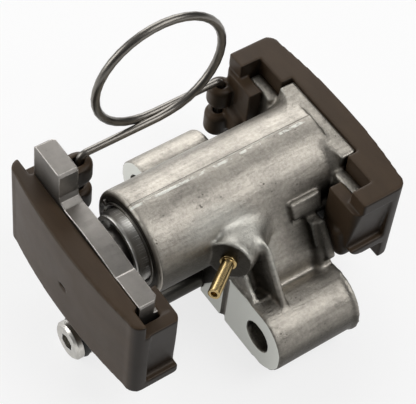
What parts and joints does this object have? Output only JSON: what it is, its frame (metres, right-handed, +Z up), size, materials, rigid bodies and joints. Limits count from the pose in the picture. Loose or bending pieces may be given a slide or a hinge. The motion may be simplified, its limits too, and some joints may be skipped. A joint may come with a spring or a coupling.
{
  "type": "timing chain tensioner",
  "caption": "Hydraulic timing chain tensioner: cast housing with a fixed plastic shoe, a sprung plunger with a moving shoe, a feed pipe, an oil jet and a wire transport clip.",
  "frame": {"origin": "on the mounting face of the lugs, midway between the two bolt-hole centres", "axes": "+X along the plunger from the moving shoe to the fixed shoe, so the mounting face looks along -X; +Z up across the chain"},
  "size_m": [0.0646, 0.0557, 0.0566],
  "materials": {
    "cast": "satin",
    "plastic": "matte",
    "sintered": "satin",
    "steel": "satin",
    "wire": "satin",
    "brass": "satin",
    "rubber": "matte"
  },
  "bodies": {
    "body": {"housing": "cast", "fixed_shoe": "plastic", "oil_jet": "brass", "feed_pipe": "steel", "feed_nipple": "steel", "feed_o_ring": "rubber", "feed_strainer": "steel", "gallery_plug": "steel", "flange_plug": "steel", "bore_ring": "steel", "valve_seat": "steel", "valve_cage": "steel", "valve_spring": "steel", "plunger_spring": "steel"},
    "slider": {"plunger": "steel", "volume_insert": "plastic", "stem_ring": "steel", "shoe_carrier": "sintered", "moving_shoe": "plastic"},
    "ball": {"valve_ball": "steel"},
    "clip": {"transport_clip": "wire"}
  },
  "joints": [
    {"name": "plunger_slide", "type": "slide", "parent": "body", "child": "slider", "axis": [1, 0, 0], "range_m": [0, 0.0025], "stiffness_N_per_m": 3000, "springref_m": -0.01, "deforming": ["plunger_spring"]},
    {"name": "ball_lift", "type": "slide", "parent": "body", "child": "ball", "axis": [-1, 0, 0], "range_m": [0, 0.0005], "stiffness_N_per_m": 100, "springref_m": -0.001, "deforming": ["valve_spring"]},
    {"name": "clip_pull", "type": "slide", "parent": "body", "child": "clip", "axis": [0, 0, 1], "range_m": [0, 0.016]}
  ]
}
